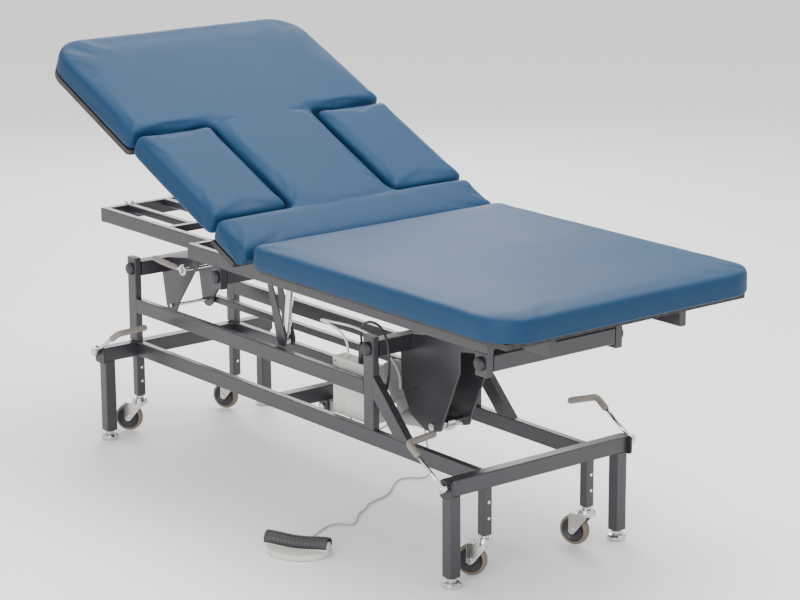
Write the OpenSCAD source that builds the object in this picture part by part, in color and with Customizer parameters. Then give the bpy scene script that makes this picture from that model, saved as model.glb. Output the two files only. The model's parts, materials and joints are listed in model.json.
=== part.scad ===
// Height-adjustable medical exam table: a floor frame on feet and retractable
// casters, two lift cranks driven by one actuator, and a padded tabletop whose
// back section tilts and carries two drop-down arm sections.
// X runs to the foot end, Y to the far side, Z up. Millimetres.

/* [Tabletop] */
// Full width of the pads
top_w = 812; // [760:2:860]
// Thickness of every pad
pad_t = 65; // [50:1:70]
// Length of the foot pad
foot_pad_l = 967; // [900:1:980]
// Length of the back pad from its hinge
back_pad_l = 973; // [940:1:980]
// Tilt of the back section above level, as posed
back_angle = 24.1; // [0:0.1:50]
// Half width of the narrow middle of the back pad
neck_half = 162.5; // [150:0.5:170]
// Where the narrow middle starts, from the hinge
neck_start = 115; // [100:1:130]
// Where the narrow middle ends, from the hinge
neck_end = 507; // [480:1:530]

/* [Floor frame] */
// Distance between the centres of the head and foot beams
base_l = 1490; // [1480:2:1520]
// Distance between the centres of the outer legs
leg_spread = 526; // [500:2:560]
// Distance between the centres of the casters
caster_spread = 323; // [310:1:330]
// Underside of the floor frame's beams
beam_z = 225; // [215:1:235]
// Depth of the frame tubes
beam_h = 40; // [36:1:44]
// Wheel diameter
wheel_d = 76; // [60:1:80]

/* [Lift] */
// Distance between the head and foot cranks
crank_gap = 1066; // [1060:1:1070]
// Crank length along X, as posed
crank_run = 471; // [465:1:475]
// Crank rise along Z, as posed
crank_rise = 72; // [60:1:80]
// Height of the lower crank pivots
pivot_z = 470; // [465:1:475]

/* [Hidden] */

$fn = 48;
clear = 0.4;               // running clearance round every pin
seam = 0.1;                // gap that keeps two welded pieces separate solids
wall = 2;                  // tube wall
tube_r = 3;                // outer corner radius of the tubes
origin_shift = [-80, 33, 0];

beam_top = beam_z + beam_h;
beam_mid = beam_z + beam_h / 2;
beam_x = base_l / 2;       // head beam at -beam_x, foot beam at +beam_x
beam_w = 32;
beam_end = leg_spread / 2 + 16;
rail_w = 20;
rail_y = 164;              // centre of the floor frame's long rails
rail_in = rail_y - rail_w / 2;
rail_out = rail_y + rail_w / 2;
upper_base_z = 368;        // centre of the upper long rails of the floor frame
post_w = 40;
post_top = 502;
pivot_x = [-749, -749 + crank_gap];
upper_z = pivot_z + crank_rise;
upper_x = [for (x = pivot_x) x + crank_run];
pin_d = 16;
knob_d = 34;
knob_h = 12;
bush_d = 26;
bush_h = 3;

// Upper frame
main_y = 201;              // centre of the main rails
main_in = main_y - rail_w / 2;
main_out = main_y + rail_w / 2;
main_z = [567, 608];
main_x = [-410, 810];
bracket_z = 511;
ext_y = 140;
ext_end = -936;

// Crank outlines in X and Z, measured from the lower pivot
head_crank_web = [[-15, -28], [2, -118], [8, -131], [20, -138], [36, -138], [50, -128], [63, -102],
                  [146, 2], [146, 16], [-15, 16]];
foot_crank_web = [[-32, -3], [-25, -127], [9, -189], [56, -212], [68, -217], [82, -217], [112, -211],
                  [125, -207], [136, -176], [195, -44], [195, 28], [-20, 16]];
head_web_y = 60;
foot_web_y = 45;
web_t = 6;
tie_pin = [31, -116];      // tie bar pin from the lower pivots
tie_y = 75;
tie_pin_d = 10;
act_tip = [96, -201];      // actuator bolt from the foot crank's lower pivot
act_rear = [-64, 206];
act_bolt_d = 10;
act_slack = 6.5;           // room round the actuator's front bolt over the whole lift

// Back section; modelled flat with its hinge at the origin, then tilted
hinge_x = 95;
hinge_z = 702;
nose_r = pad_t / 2;
board_t = 14;
drop_axis = [164, -37.5];   // drop pad hinge in the flat back section
drop_knuckles = [-450, -200];
strut_y = -118;
strut_low = [-99, 395];
strut_top = [-148.3, -62]; // spring's upper pin in the flat back frame
strut_lean = 7.6;
strut_len = 311.8;
strut_pin_d = 6;
strut_eye_d = 24;          // bore of the rod's eye, wide enough for its travel
gap_x = hinge_x + nose_r + 1;

// Casters
trail = 32;
axle_z = 42;
swivels = [["head", -1, -1, 221], ["head", -1, 1, 205], ["foot", 1, -1, 213], ["foot", 1, 1, 198]];

// Control box
box_x = [129, 285];
box_y = [-140, -98];
box_z = [260, 407];

// Foot switch and its lead
switch_at = [341, -419];
switch_turn = 30;
rocker_l = 164;
lead_d = 4.6;
lead_route = [
    [322, -386, 10], [302, -359, 4], [285, -335, 3], [267, -309, 3], [248, -277, 3], [235, -249, 3],
    [228, -226, 3], [236, -204, 3], [256, -187, 3], [250, -166, 3], [228, -144, 3], [206, -122, 3],
    [193, -98, 3], [178, -76, 3], [160, -54, 3], [148, -18, 3], [138, 16, 3], [116, 50, 3], [86, 84, 3],
    [62, 114, 3], [53, 140, 3], [62, 160, 3], [78, 176, 3], [84, 194, 4], [80, 210, 9], [75, 214, 26],
    [74, 211, 60], [75, 203, 110], [79, 182, 192], [84, 168, 214], [96, 146, 219], [112, 100, 206],
    [128, 46, 194], [146, -10, 190], [160, -64, 200], [169, -102, 226], [171, -117, 246], [171, -119, 260]
];

// From the control box up, back past the foot post and over the motor
drive_route = [
    [164, -119, 407], [164, -119, 428], [156, -119, 448], [132, -119, 466], [100, -121, 474], [76, -123, 479],
    [64, -126, 482], [76, -129, 486], [104, -130, 488], [140, -131, 491], [180, -132, 494], [222, -134, 495],
    [254, -132, 491], [270, -118, 480], [274, -98, 464], [266, -76, 448], [246, -56, 434], [226, -42, 422],
    [222, -36, 408], [240, -34, 394], [258, -34, 374], [265, -33, 352], [262, -31, 330]
];
loop_route = [
    [233, -130, 478], [240, -133, 498], [256, -137, 514], [280, -140, 524], [308, -140, 525], [332, -140, 514],
    [349, -140, 492], [356, -140, 462], [356, -138, 430], [350, -136, 396], [338, -133, 364], [322, -130, 336],
    [304, -127, 316], [285, -126, 306]
];

function unit(v) = v / norm(v);

// A curve through every point of p, with the given number of steps between two points
function smooth(p, steps) = let (n = len(p) - 1) concat(
    [for (i = [0:n - 1], k = [0:steps - 1])
        let (t = k / steps, a = p[max(i - 1, 0)], b = p[i], c = p[i + 1], d = p[min(i + 2, n)])
        0.5 * (2 * b + (c - a) * t + (2 * a - 5 * b + 4 * c - d) * t * t + (3 * b - a - 3 * c + d) * t * t * t)],
    [p[n]]);

// ---- Shared shapes ----

module place() {
    translate(origin_shift) children();
}

module both_sides() {
    children();
    mirror([0, 1, 0]) children();
}

module slab(x, y, z) {
    translate([x[0], y[0], z[0]]) cube([x[1] - x[0], y[1] - y[0], z[1] - z[0]]);
}

module round_rect(w, h, r) {
    square([w - 2 * r, h], center = true);
    square([w, h - 2 * r], center = true);
    for (sx = [-1, 1], sy = [-1, 1])
        translate([sx * (w / 2 - r), sy * (h / 2 - r)]) circle(r, $fn = 24);
}

// Closed rectangular tube along +Z, w by h
module tube(w, h, len) {
    difference() {
        linear_extrude(len) round_rect(w, h, tube_r);
        translate([0, 0, wall]) linear_extrude(len - 2 * wall) square([w - 2 * wall, h - 2 * wall], center = true);
    }
}

module tube_x(x, y, z, w, h) {
    translate([x[0], y, z]) rotate([90, 0, 90]) tube(w, h, x[1] - x[0]);
}

module tube_y(x, y, z, w, h) {
    translate([x, y[0], z]) rotate([-90, 0, 0]) tube(w, h, y[1] - y[0]);
}

module tube_z(x, y, z, w, h) {
    translate([x, y, z[0]]) tube(w, h, z[1] - z[0]);
}

// Round bar along Y
module bar_y(x, y, z, d) {
    translate([x, y[0], z]) rotate([-90, 0, 0]) cylinder(h = y[1] - y[0], d = d);
}

// Flat plate in X and Z, standing from y[0] to y[1]
module plate_xz(y, points) {
    translate([0, y[1], 0]) rotate([90, 0, 0]) linear_extrude(y[1] - y[0]) polygon(points);
}

module bar_between(a, b, d) {
    v = b - a;
    translate(a) rotate([0, acos(v[2] / norm(v)), atan2(v[1], v[0])]) cylinder(h = norm(v), d = d);
}

// The direction u carried along the tangents t without twisting
function carried(t, u, i = 0) = i == len(t) ? [] :
    let (v = unit(u - t[i] * (u * t[i]))) concat([v], carried(t, v, i + 1));

// Swept cord: one polyhedron along points, with flat ends; d is one diameter or one per point
module swept(points, d, sides) {
    last = len(points) - 1;
    radii = [for (i = [0:last]) (is_list(d) ? d[i] : d) / 2];
    tangents = [for (i = [0:last]) unit(points[min(i + 1, last)] - points[max(i - 1, 0)])];
    sideways = carried(tangents, cross(abs(tangents[0][2]) > 0.9 ? [1, 0, 0] : [0, 0, 1], tangents[0]));
    rings = [for (i = [0:last])
        let (u = sideways[i], w = cross(tangents[i], u))
        for (k = [0:sides - 1]) points[i] + radii[i] * (u * cos(k * 360 / sides) + w * sin(k * 360 / sides))];
    sides_faces = [for (i = [0:last - 1], k = [0:sides - 1])
        [i * sides + k, (i + 1) * sides + k, (i + 1) * sides + (k + 1) % sides, i * sides + (k + 1) % sides]];
    polyhedron(rings, concat(sides_faces, [[for (k = [0:sides - 1]) k]],
                             [[for (k = [sides - 1:-1:0]) last * sides + k]]), convexity = 6);
}

// ---- Floor frame ----

module lower_rails() {
    color([0.17, 0.16, 0.19]) both_sides()
        tube_x([-beam_x + beam_w / 2, beam_x - beam_w / 2], rail_y, beam_mid, rail_w, beam_h);
}

module upper_base_rails() {
    color([0.17, 0.16, 0.19]) both_sides()
        tube_x([pivot_x[0] + post_w / 2, pivot_x[1] - post_w / 2], rail_y, upper_base_z, rail_w, beam_h);
}

module end_beam(x) {
    color([0.17, 0.16, 0.19]) tube_y(x, [-beam_end, beam_end], beam_mid, beam_w, beam_h);
}

module head_beam() end_beam(-beam_x);

module foot_beam() end_beam(beam_x);

module mid_beam() {
    color([0.17, 0.16, 0.19]) {
        tube_y(act_rear[0] - 4, [-rail_in, rail_in], beam_mid, beam_w, beam_h);
        both_sides() difference() {
            plate_xz([22, 28], [[-84, 225], [-84, 200], [-74, 190], [-54, 190], [-48, 198], [-48, 225]]);
            bar_y(act_rear[0], [20, 30], act_rear[1], act_bolt_d + clear);
        }
    }
}

module base_posts() {
    color([0.17, 0.16, 0.19]) both_sides() for (x = pivot_x) difference() {
        tube_z(x, rail_y, [beam_top, post_top], post_w, rail_w);
        bar_y(x, [rail_in - 1, rail_out + 1], pivot_z, pin_d);
    }
}

// Braces at 45 degrees from the foot posts down to the lower rails
module base_braces() {
    start = pivot_x[1] + post_w / 2;
    color([0.17, 0.16, 0.19]) both_sides() plate_xz([rail_in, rail_out],
        [[start, beam_top + 139], [start, beam_top + 83], [start + 83, beam_top], [start + 139, beam_top]]);
}

module outer_legs() {
    color([0.17, 0.16, 0.19]) both_sides() for (x = [-beam_x, beam_x])
        tube_z(x, leg_spread / 2, [26, beam_z], beam_w, beam_w);
}

module caster_legs() {
    color([0.17, 0.16, 0.19]) both_sides() for (x = [-beam_x, beam_x])
        translate([x, caster_spread / 2, 108]) difference() {
            linear_extrude(beam_z - 108) round_rect(25, 25, tube_r);
            translate([0, 0, -1]) cylinder(h = 80, d = 20 + 2 * clear);
        }
}

module levelling_feet() {
    color("silver") both_sides() for (x = [-beam_x, beam_x]) translate([x, leg_spread / 2, 0])
        rotate_extrude() polygon([[0, 0], [22, 0], [24, 3], [24, 9], [20, 13], [11, 15], [11, 17], [13, 17],
                                  [13, 23], [6, 23], [6, 26], [0, 26]]);
}

module knob(h, d) {
    rotate_extrude() polygon([[0, 0], [d / 2, 0], [d / 2, h * 0.55], [d * 0.42, h * 0.85], [d * 0.26, h], [0, h]]);
}

module lower_pivot_knobs() {
    color([0.06, 0.06, 0.07]) both_sides() for (x = pivot_x) {
        translate([x, rail_out, pivot_z]) rotate([-90, 0, 0]) knob(knob_h, knob_d);
        bar_y(x, [rail_in - bush_h - 24, rail_out], pivot_z, pin_d);
    }
}

module bush_ring(x, y, z) {
    difference() {
        bar_y(x, [y, y + bush_h], z, bush_d);
        bar_y(x, [y - 1, y + bush_h + 1], z, pin_d);
    }
}

module lower_pivot_bushes() {
    color("ivory") both_sides() for (x = pivot_x) bush_ring(x, rail_in - bush_h, pivot_z);
}

module lever_end_plates() {
    color([0.08, 0.08, 0.09]) both_sides() for (s = [-1, 1]) difference() {
        translate([s * (beam_x + 6), beam_end, beam_mid - 2]) rotate([-90, 0, 0])
            linear_extrude(5) round_rect(44, 46, 8);
        bar_y(s * lever_hub[0], [beam_end - 1, beam_end + 6], lever_hub[1], 12 + clear);
    }
}

module control_box() {
    color([0.74, 0.74, 0.71]) {
        difference() {
            slab(box_x, box_y, [box_z[0], 310]);
            slab([box_x[0] + 3, box_x[1] - 3], [box_y[0] + 3, box_y[1] - 3], [box_z[0] + 3, 311]);
        }
        for (x = [150, 238]) slab([x, x + 24], [box_y[0] - 1.5, box_y[0]], [box_z[0] + 6, 306]);
    }
}

module control_box_lid() {
    color([0.76, 0.76, 0.73]) {
        difference() {
            slab(box_x, box_y, [310, box_z[1]]);
            slab([box_x[0] + 3, box_x[1] - 3], [box_y[0] + 3, box_y[1] - 3], [309, box_z[1] - 3]);
        }
        for (x = [150, 238]) slab([x, x + 24], [-rail_in, box_y[0]], [356, 382]);
    }
}

module frame_screws() {
    color("silver") {
        both_sides() for (s = [-1, 1]) {
            translate([s * beam_x + 12.5, caster_spread / 2, 190]) rotate([0, 90, 0]) cylinder(h = 3, d = 8);
            translate([s * beam_x + 12.5, caster_spread / 2, 150]) rotate([0, 90, 0]) cylinder(h = 3, d = 8);
        }
        for (x = [140, 274], z = [322, 396])
            translate([x, box_y[0], z]) rotate([90, 0, 0]) cylinder(h = 2, d = 6);
        bar_y(act_rear[0], [-34, 34], act_rear[1], act_bolt_d);
        both_sides() bar_y(act_rear[0], [28, 35], act_rear[1], 18);
    }
}

module actuator_cables() {
    plug_at = [232, -128];
    top = box_z[1];
    color([0.8, 0.8, 0.76]) swept(smooth(drive_route, 2), 6, 10);
    color([0.08, 0.08, 0.08]) {
        translate([plug_at[0], plug_at[1], top]) cylinder(h = 42, d = 17);
        translate([plug_at[0], plug_at[1], top + 42]) cylinder(h = 12, d1 = 15, d2 = 8);
        swept(smooth(concat([[plug_at[0], plug_at[1], top + 54]], loop_route), 2), 6.5, 10);
    }
}

// ---- Foot switch ----

module switch_place() {
    translate([switch_at[0], switch_at[1], 0]) rotate(switch_turn) children();
}

// Half-round plate with its straight side to the back, and a core under the rocker
module foot_switch_base() {
    color([0.78, 0.78, 0.74]) switch_place() {
        translate([0, 24, 0]) hull() {
            linear_extrude(2) switch_outline(80, 66);
            translate([0, 0, 3]) linear_extrude(2) switch_outline(84, 70);
            translate([0, 0, 14]) linear_extrude(2) switch_outline(81, 60);
        }
        difference() {
            plate_xz([4, 28], [[-78, 15], [-78, 24], [-9, 39], [9, 39], [78, 24], [78, 15]]);
            bar_y(0, [3, 29], 34, 6 + clear);
        }
    }
}

module switch_outline(half_w, depth) {
    scale([1, depth / half_w]) intersection() {
        circle(half_w, $fn = 40);
        translate([-half_w, -half_w]) square([2 * half_w, half_w * 1.28]);
    }
}

// Half-round rocker shell that tips either way about its middle
module foot_switch_pedal() {
    color([0.1, 0.1, 0.12]) switch_place() {
        difference() {
            translate([-rocker_l / 2, 16, 30]) rotate([90, 0, 90]) linear_extrude(rocker_l) pedal_profile(20, -6);
            translate([-rocker_l / 2 - 1, 16, 30]) rotate([90, 0, 90])
                linear_extrude(rocker_l + 2) pedal_profile(16.5, -7);
        }
        bar_y(0, [-2, 34], 34, 6);
    }
}

module pedal_profile(r, low) {
    difference() {
        union() {
            circle(r, $fn = 48);
            translate([-r, low]) square([2 * r, -low]);
        }
        translate([-r - 1, low - r]) square([2 * r + 2, r]);
    }
}

module switch_lead() {
    color("lightgray") swept(smooth(lead_route, 2), lead_d, 8);
}

// ---- Casters and their levers ----

lever_hub = [beam_x + 10, 252];

// The lever is drawn for the near foot corner and mirrored to the others
module caster_lever(end, side) {
    hub = [lever_hub[0], -beam_end, lever_hub[1]];
    lever_y = -297;
    bend = [hub[0] - 126, lever_y, hub[2] + 78];
    up_arm = unit([hub[0], lever_y, hub[2]] - bend);
    inward = unit([-6, 84, 5]);
    grip = [bend + up_arm * 40, bend + up_arm * 37, bend + up_arm * 14, bend + up_arm * 5 + inward * 5,
            bend + inward * 14, bend + inward * 78, bend + inward * 85, bend + inward * 88];
    mirror([end < 0 ? 1 : 0, 0, 0]) mirror([0, side > 0 ? 1 : 0, 0]) {
        color("silver") {
            bar_y(hub[0], [-beam_end - 26, -beam_end], hub[2], 12);
            bar_y(hub[0], [-beam_end - 26, -beam_end - 7], hub[2], 22);
            bar_between([hub[0], lever_y, hub[2]], bend + up_arm * 20, 10);
        }
        color([0.49, 0.46, 0.42]) swept(grip, [14, 17, 17, 17, 17, 17, 14, 7], 14);
    }
}

module at_swivel(i) {
    s = swivels[i];
    translate([s[1] * beam_x, s[2] * caster_spread / 2, 0]) children();
}

// Round post that the lever's cam pushes down out of the leg tube
module caster_post(i) {
    color("silver") at_swivel(i) {
        translate([0, 0, 106]) cylinder(h = 70, d = 20);
        translate([0, 0, 100]) cylinder(h = 6, d = 22);
        translate([0, 0, 84]) cylinder(h = 16, d = 10);
    }
}

// Fork with its raceway round the post and two cheeks down to the axle
module caster_fork(i) {
    color("silver") at_swivel(i) rotate(swivels[i][3]) {
        difference() {
            union() {
                translate([0, 0, 92]) cylinder(h = 7.5, d1 = 44, d2 = 36);
                translate([0, 0, 84]) cylinder(h = 8, d = 44);
                slab([-6, 40], [-16, 16], [84, 87]);
            }
            translate([0, 0, 80]) cylinder(h = 22, d = 10 + 2 * clear);
        }
        both_sides() difference() {
            plate_xz([14, 16.5], [[-8, 87], [-8, 78], [trail - 9, axle_z - 4], [trail - 4, axle_z - 9],
                                  [trail + 4, axle_z - 9], [trail + 9, axle_z - 4], [40, 84], [40, 87]]);
            bar_y(trail, [13, 18], axle_z, 8);
        }
        bar_y(trail, [-18, 18], axle_z, 8);
        both_sides() bar_y(trail, [16.5, 20], axle_z, 13);
    }
}

module caster_wheel(i) {
    color([0.42, 0.38, 0.33]) at_swivel(i) rotate(swivels[i][3]) translate([trail, 0, axle_z]) rotate([90, 0, 0])
        rotate_extrude($fn = 72) polygon([[4.4, -12], [10, -12], [11, -6], [26, -5], [28, -9], [31, -11],
            [wheel_d / 2 - 3, -10], [wheel_d / 2 - 0.5, -6], [wheel_d / 2, 0], [wheel_d / 2 - 0.5, 6],
            [wheel_d / 2 - 3, 10], [31, 11], [28, 9], [26, 5], [11, 6], [10, 12], [4.4, 12]]);
}

module caster_lever_head_near() caster_lever(-1, -1);
module caster_lever_head_far() caster_lever(-1, 1);
module caster_lever_foot_near() caster_lever(1, -1);
module caster_lever_foot_far() caster_lever(1, 1);
module caster_post_head_near() caster_post(0);
module caster_post_head_far() caster_post(1);
module caster_post_foot_near() caster_post(2);
module caster_post_foot_far() caster_post(3);
module caster_fork_head_near() caster_fork(0);
module caster_fork_head_far() caster_fork(1);
module caster_fork_foot_near() caster_fork(2);
module caster_fork_foot_far() caster_fork(3);
module caster_wheel_head_near() caster_wheel(0);
module caster_wheel_head_far() caster_wheel(1);
module caster_wheel_foot_near() caster_wheel(2);
module caster_wheel_foot_far() caster_wheel(3);

// ---- Lift cranks, tie bar and actuator ----

// Square cross tube that turns on two pins
module pivot_tube(x, z, half) {
    difference() {
        tube_y(x, [-half, half], z, 40, 40);
        both_sides() bar_y(x, [half - 40, half + 1], z, pin_d + clear);
    }
}

module crank(p, web, web_y) {
    arm_end = [crank_run - 19, crank_rise];
    arm_rise = crank_rise / crank_run;
    top_start = [19, 19 * arm_rise + 17];
    top_finish = [crank_run - 19, (crank_run - 19) * arm_rise + 17];
    color([0.16, 0.15, 0.18]) {
        pivot_tube(p[0], p[1], rail_in - bush_h - 0.3);
        pivot_tube(p[0] + crank_run, p[1] + crank_rise, main_in - bush_h - 0.3);
        translate([p[0], 0, p[1]]) {
            both_sides() difference() {
                union() {
                    plate_xz([web_y - web_t / 2, web_y + web_t / 2], web);
                    plate_xz([web_y - web_t / 2, web_y + web_t / 2],
                        [[19, -18], [arm_end[0], arm_end[1] - 20], [arm_end[0], top_finish[1]], top_start]);
                }
                slab([-19, 19], [web_y - 10, web_y + 10], [-19, 19]);
                bar_y(tie_pin[0], [web_y - 10, web_y + 10], tie_pin[1], tie_pin_d + clear);
                bar_y(act_tip[0], [web_y - 10, web_y + 10], act_tip[1], act_bolt_d);
            }
            plate_xz([-web_y + web_t / 2, web_y - web_t / 2],
                [top_start - [0, web_t], top_finish - [0, web_t], top_finish, top_start]);
        }
    }
}

module head_crank() crank([pivot_x[0], pivot_z], head_crank_web, head_web_y);

module foot_crank() crank([pivot_x[1], pivot_z], foot_crank_web, foot_web_y);

module tie_bar() {
    z = pivot_z + tie_pin[1];
    color([0.17, 0.16, 0.19]) difference() {
        tube_x([pivot_x[0] + tie_pin[0] - 14, pivot_x[1] + tie_pin[0] + 14], tie_y, z, rail_w, rail_w);
        for (x = pivot_x) bar_y(x + tie_pin[0], [tie_y - 12, tie_y + 12], z, tie_pin_d);
    }
}

module tie_bar_pins() {
    z = pivot_z + tie_pin[1];
    color("silver") for (i = [0, 1]) {
        y0 = i == 0 ? -head_web_y - 8 : foot_web_y - 8;
        bar_y(pivot_x[i] + tie_pin[0], [y0, tie_y + 16], z, tie_pin_d);
        bar_y(pivot_x[i] + tie_pin[0], [tie_y + 10, tie_y + 16], z, 17);
    }
}

module actuator_bolt() {
    x = pivot_x[1] + act_tip[0];
    z = pivot_z + act_tip[1];
    color("silver") {
        bar_y(x, [-foot_web_y - 9, foot_web_y + 9], z, act_bolt_d);
        both_sides() bar_y(x, [foot_web_y + 3, foot_web_y + 9], z, 19);
    }
    color("ivory") both_sides() difference() {
        bar_y(x, [12, foot_web_y - 3], z, 24);
        bar_y(x, [11, foot_web_y - 2], z, act_bolt_d);
    }
}

act_vec = [pivot_x[1] + act_tip[0] - act_rear[0], pivot_z + act_tip[1] - act_rear[1]];
act_len = norm(act_vec);
act_angle = atan2(act_vec[1], act_vec[0]);

module along_actuator() {
    translate([act_rear[0], 0, act_rear[1]]) rotate([0, -act_angle, 0]) children();
}

module bar_x(x, d) {
    translate([x[0], 0, 0]) rotate([0, 90, 0]) cylinder(h = x[1] - x[0], d = d);
}

module actuator_body() {
    color([0.45, 0.45, 0.47]) along_actuator() difference() {
        union() {
            slab([-14, 44], [-18, 18], [-14, 14]);
            bar_x([40, 396], 42);
            bar_x([384, 400], 47);
        }
        bar_y(0, [-20, 20], 0, act_bolt_d + clear);
        bar_x([125, 401], 25);
    }
}

// Geared motor leaning back over the actuator's tube
module actuator_motor() {
    color([0.55, 0.56, 0.57]) difference() {
        translate([262, 0, 268]) rotate([0, -38, 0]) {
            cylinder(h = 36, d = 52);
            translate([0, 0, 36]) cylinder(h = 16, d = 66);
            translate([0, 0, 52]) cylinder(h = 72, d = 60);
            translate([0, 0, 124]) cylinder(h = 8, d1 = 60, d2 = 48);
        }
        along_actuator() bar_x([150, 420], 42 + clear);
    }
}

module actuator_rod() {
    color("silver") along_actuator() {
        bar_x([160, act_len - 14], 24);
        difference() {
            bar_y(act_len, [-11, 11], 0, 36);
            bar_y(act_len, [-12, 12], 0, act_bolt_d + 2 * act_slack);
        }
    }
}

// ---- Upper frame ----

module upper_rails() {
    z = (main_z[0] + main_z[1]) / 2;
    color([0.2, 0.19, 0.22]) both_sides() {
        tube_x(main_x, main_y, z, rail_w, main_z[1] - main_z[0]);
        for (x = upper_x) difference() {
            slab([x - 20, x + 20], [main_in, main_out], [bracket_z, main_z[0] - seam]);
            bar_y(x, [main_in - 1, main_out + 1], upper_z, pin_d);
        }
    }
}

module crossbar(x) {
    tube_y(x, [-main_in, main_in], main_z[1] - 15, rail_w, 30);
}

module upper_crossbars() {
    under = main_z[1] - 30 - seam;
    over = main_z[1] + seam;
    color([0.2, 0.19, 0.22]) {
        for (x = [main_x[0] + 10, -150, hinge_x, 440, main_x[1] - 10]) crossbar(x);
        for (y = [strut_y - 16, strut_y + 12]) difference() {
            plate_xz([y, y + 4], [[-160, under], [-160, 540], [-122, 400], [-112, 381], [-86, 381], [-80, 400],
                                  [-140, 540], [-140, under]]);
            bar_y(strut_low[0], [y - 1, y + 5], strut_low[1], 8);
        }
        bar_y(strut_low[0], [strut_y - 19, strut_y + 19], strut_low[1], 8);
        both_sides() difference() {
            plate_xz([178, 184], [[84, over], [84, 706], [90, 714], [100, 714], [106, 706], [106, over]]);
            bar_y(hinge_x, [177, 185], hinge_z, 12);
        }
        both_sides() bar_y(hinge_x, [169, 186], hinge_z, 12);
        for (y = [-190, -112]) difference() {
            plate_xz([y, y + 5], [[-410, under], [-424, 540], [-424, 528], [-406, 528], [-390, 560], [-390, under]]);
            bar_y(release_at[0], [y - 1, y + 6], release_at[2], 8 + clear);
        }
    }
}

module head_extension() {
    color([0.22, 0.21, 0.24]) {
        both_sides() {
            tube_x([ext_end + rail_w, main_x[0]], ext_y, 588, rail_w, beam_h);
            tube_x([ext_end + rail_w, -620], 60, 598, rail_w, rail_w);
        }
        tube_y(ext_end + 10, [-ext_y - 10, ext_y + 10], 588, rail_w, beam_h);
        tube_y(-610, [-ext_y + 10, ext_y - 10], 598, rail_w, rail_w);
        for (y = [-69, -49]) translate([ext_end + 7, y, 608]) rotate([90, 0, 0])
            rotate_extrude() translate([6, 0]) circle(1.5, $fn = 16);
    }
}

module upper_pivot_knobs() {
    color([0.06, 0.06, 0.07]) both_sides() for (x = upper_x) {
        translate([x, main_out, upper_z]) rotate([-90, 0, 0]) knob(knob_h, knob_d);
        bar_y(x, [main_in - bush_h - 24, main_out], upper_z, pin_d);
    }
}

module upper_pivot_bushes() {
    color("ivory") both_sides() for (x = upper_x) bush_ring(x, main_in - bush_h, upper_z);
}

module foot_supports() {
    top = hinge_z - nose_r - board_t;
    color([0.17, 0.16, 0.19]) {
        for (x = [190, 480, 770])
            tube_y(x, [-250, 250], (main_z[1] + top) / 2, 25, top - main_z[1]);
        both_sides() tube_x([782.5 + seam, 1020], main_y, (main_z[1] + top) / 2, rail_w, top - main_z[1]);
    }
}

module foot_board() {
    top = hinge_z - nose_r;
    color("tan") slab([gap_x + 12, gap_x + foot_pad_l - 40], [-366, 366], [top - board_t, top]);
}

// Plan outline from x0 to x1, with its own corner radius at each end
module pad_outline(x0, x1, half, r0, r1) {
    translate([x0 + r0, -half]) square([x1 - x0 - r0 - r1, 2 * half]);
    translate([x0, -half + r0]) square([r0 + 1, 2 * (half - r0)]);
    translate([x1 - r1 - 1, -half + r1]) square([r1 + 1, 2 * (half - r1)]);
    for (s = [-1, 1]) {
        translate([x0 + r0, s * (half - r0)]) circle(r0, $fn = 64);
        translate([x1 - r1, s * (half - r1)]) circle(r1, $fn = 64);
    }
}

module foot_pad() {
    color([0.13, 0.29, 0.42]) translate([0, 0, hinge_z - nose_r]) linear_extrude(pad_t)
        pad_outline(gap_x, gap_x + foot_pad_l, top_w / 2, 40, 104);
}

// ---- Release lever ----

release_at = [-415, -225, 537];

module release_lever() {
    grip = [[-438, -225, 538], [-441, -225, 538.2], [-500, -225, 541.6], [-550, -225, 544.6], [-557, -225, 545],
            [-560, -225, 545.2]];
    color([0.49, 0.46, 0.42]) swept(grip, [12, 15, 16, 16, 13, 7], 14);
    color("silver") {
        bar_y(release_at[0], [-231, -219], release_at[2], 26);
        bar_y(release_at[0], [-234, -100], release_at[2], 8);
        bar_between([release_at[0] - 6, -225, 537.2], [-450, -225, 538.8], 9);
    }
}

// ---- Back section, drawn flat ----

module back_place() {
    translate([hinge_x, 0, hinge_z]) rotate([0, back_angle, 0]) children();
}

// Slots in the pad and board that clear the hinge lugs
module hinge_slots() {
    both_sides() slab([-46, nose_r + 2], [167, 188], [-nose_r - board_t - 1, 15]);
}

module back_frame() {
    under = -nose_r - board_t;
    color([0.17, 0.16, 0.19]) back_place() {
        both_sides() {
            tube_x([-930, -20], 150, under - 18, rail_w, 36);
            difference() {
                plate_xz([170, 176], [[-40, under], [-40, under - 30], [-20, under - 30], [-12, under],
                                      [12, -8], [12, 8], [7, 12], [-8, 12], [-14, 4]]);
                bar_y(0, [169, 177], 0, 12 + clear);
            }
        }
        tube_y(-30, [-139.9, 139.9], under - 15, rail_w, 30);
        both_sides() slab([-40, -20], [160 + seam, 170], [under - 30, under]);
        tube_y(-480, [-139.9, 139.9], under - 15, rail_w, 30);
        tube_y(-880, [-139.9, 139.9], under - 15, rail_w, 30);
        for (y = [strut_y - 17, strut_y + 12]) difference() {
            plate_xz([y, y + 5], [[strut_top[0] - 34, under], [strut_top[0] - 20, strut_top[1] - 20],
                                  [strut_top[0] + 20, strut_top[1] - 20], [strut_top[0] + 34, under]]);
            bar_y(strut_top[0], [y - 1, y + 6], strut_top[1], strut_pin_d);
        }
        bar_y(strut_top[0], [strut_y - 19, strut_y + 19], strut_top[1], strut_pin_d);
        both_sides() for (x = drop_knuckles) {
            slab([x, x + 30], [neck_half - 8, drop_axis[0]], [drop_axis[1] - 3, drop_axis[1]]);
            knuckle(x);
        }
    }
}

module knuckle(x) {
    translate([x, drop_axis[0], drop_axis[1]]) rotate([0, 90, 0]) cylinder(h = 30, d = 8);
}

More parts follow.
